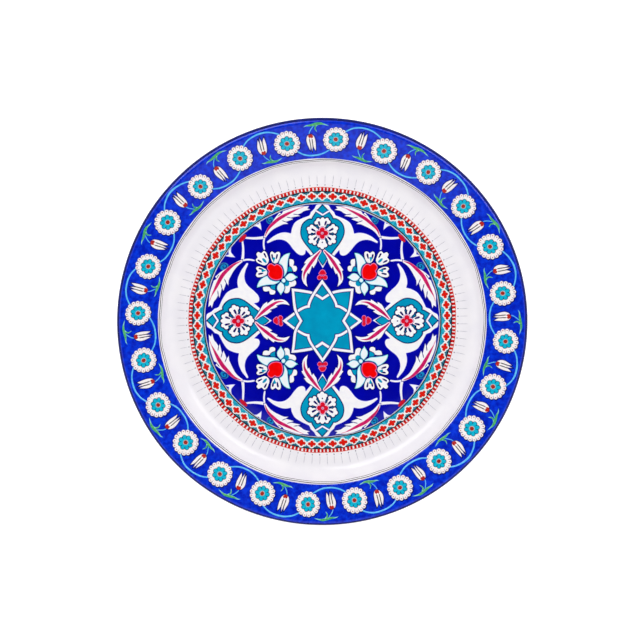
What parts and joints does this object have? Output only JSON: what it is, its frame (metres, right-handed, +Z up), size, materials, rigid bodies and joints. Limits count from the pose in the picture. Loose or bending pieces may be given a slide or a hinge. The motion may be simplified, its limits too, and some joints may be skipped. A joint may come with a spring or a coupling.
{
  "type": "decorated ceramic plate",
  "caption": "Round glazed dish with a flat well, curved cavetto and wide rim, covered in painted floral and star ornament; rests on a foot ring or hangs from it.",
  "frame": {"origin": "centre of the circle on which the foot stands", "axes": "+Z up, out of the painted face; +Y to the top of the design, where the plate hangs"},
  "size_m": [0.3, 0.3, 0.0325],
  "materials": {
    "clay": "fired earthenware, matt, bare only on the foot",
    "white_glaze": "glossy white slip under clear glaze",
    "rim_cobalt": "glossy cobalt ground, brushed on",
    "edge_cobalt": "dark glossy cobalt line",
    "medallion_cobalt": "deep glossy cobalt",
    "line_black": "thin dark drawn line",
    "turquoise": "glossy turquoise",
    "scallop_turquoise": "glossy pale turquoise",
    "white_enamel": "raised warm white enamel",
    "chain_red": "raised tomato red",
    "teeth_red": "brushed dark red",
    "pomegranate_red": "thick bright red",
    "tulip_red": "brushed red",
    "eye_brown": "brown red",
    "crimson": "brushed crimson",
    "vine_blue": "sky blue",
    "sprig_green": "leaf green",
    "sepal_cyan": "white with pale cyan edges",
    "curl_blue": "mid blue"
  },
  "bodies": {
    "root": {"back_glaze": "white_glaze", "blossom_buttons": "white_enamel", "blossom_lobes": "white_enamel", "border_buds": "chain_red", "border_lines": "line_black", "border_teeth": "teeth_red", "carnation_petals": "white_enamel", "cartouche_fields": "turquoise", "cartouche_hearts": "chain_red", "cartouche_palmettes": "white_enamel", "cartouche_rosettes": "white_enamel", "chain_links": "chain_red", "clay_body": "clay", "curls": "curl_blue", "finials": "crimson", "foot_ring": "clay", "leaf_midribs": "crimson", "medallion_ground": "medallion_cobalt", "medallion_stems": "white_enamel", "pomegranates": "pomegranate_red", "rim_edge": "edge_cobalt", "rim_ground": "rim_cobalt", "rim_lines": "line_black", "rosette_eyes": "eye_brown", "rosette_hearts": "scallop_turquoise", "rosette_petals": "white_enamel", "saz_leaves": "white_enamel", "scallops": "scallop_turquoise", "sepals": "sepal_cyan", "star_bands": "white_enamel", "star_field": "turquoise", "tulip_spears": "tulip_red", "tulips": "white_enamel", "vine_arches": "vine_blue", "vine_sprigs": "sprig_green", "white_slip": "white_glaze"}
  },
  "joints": []
}
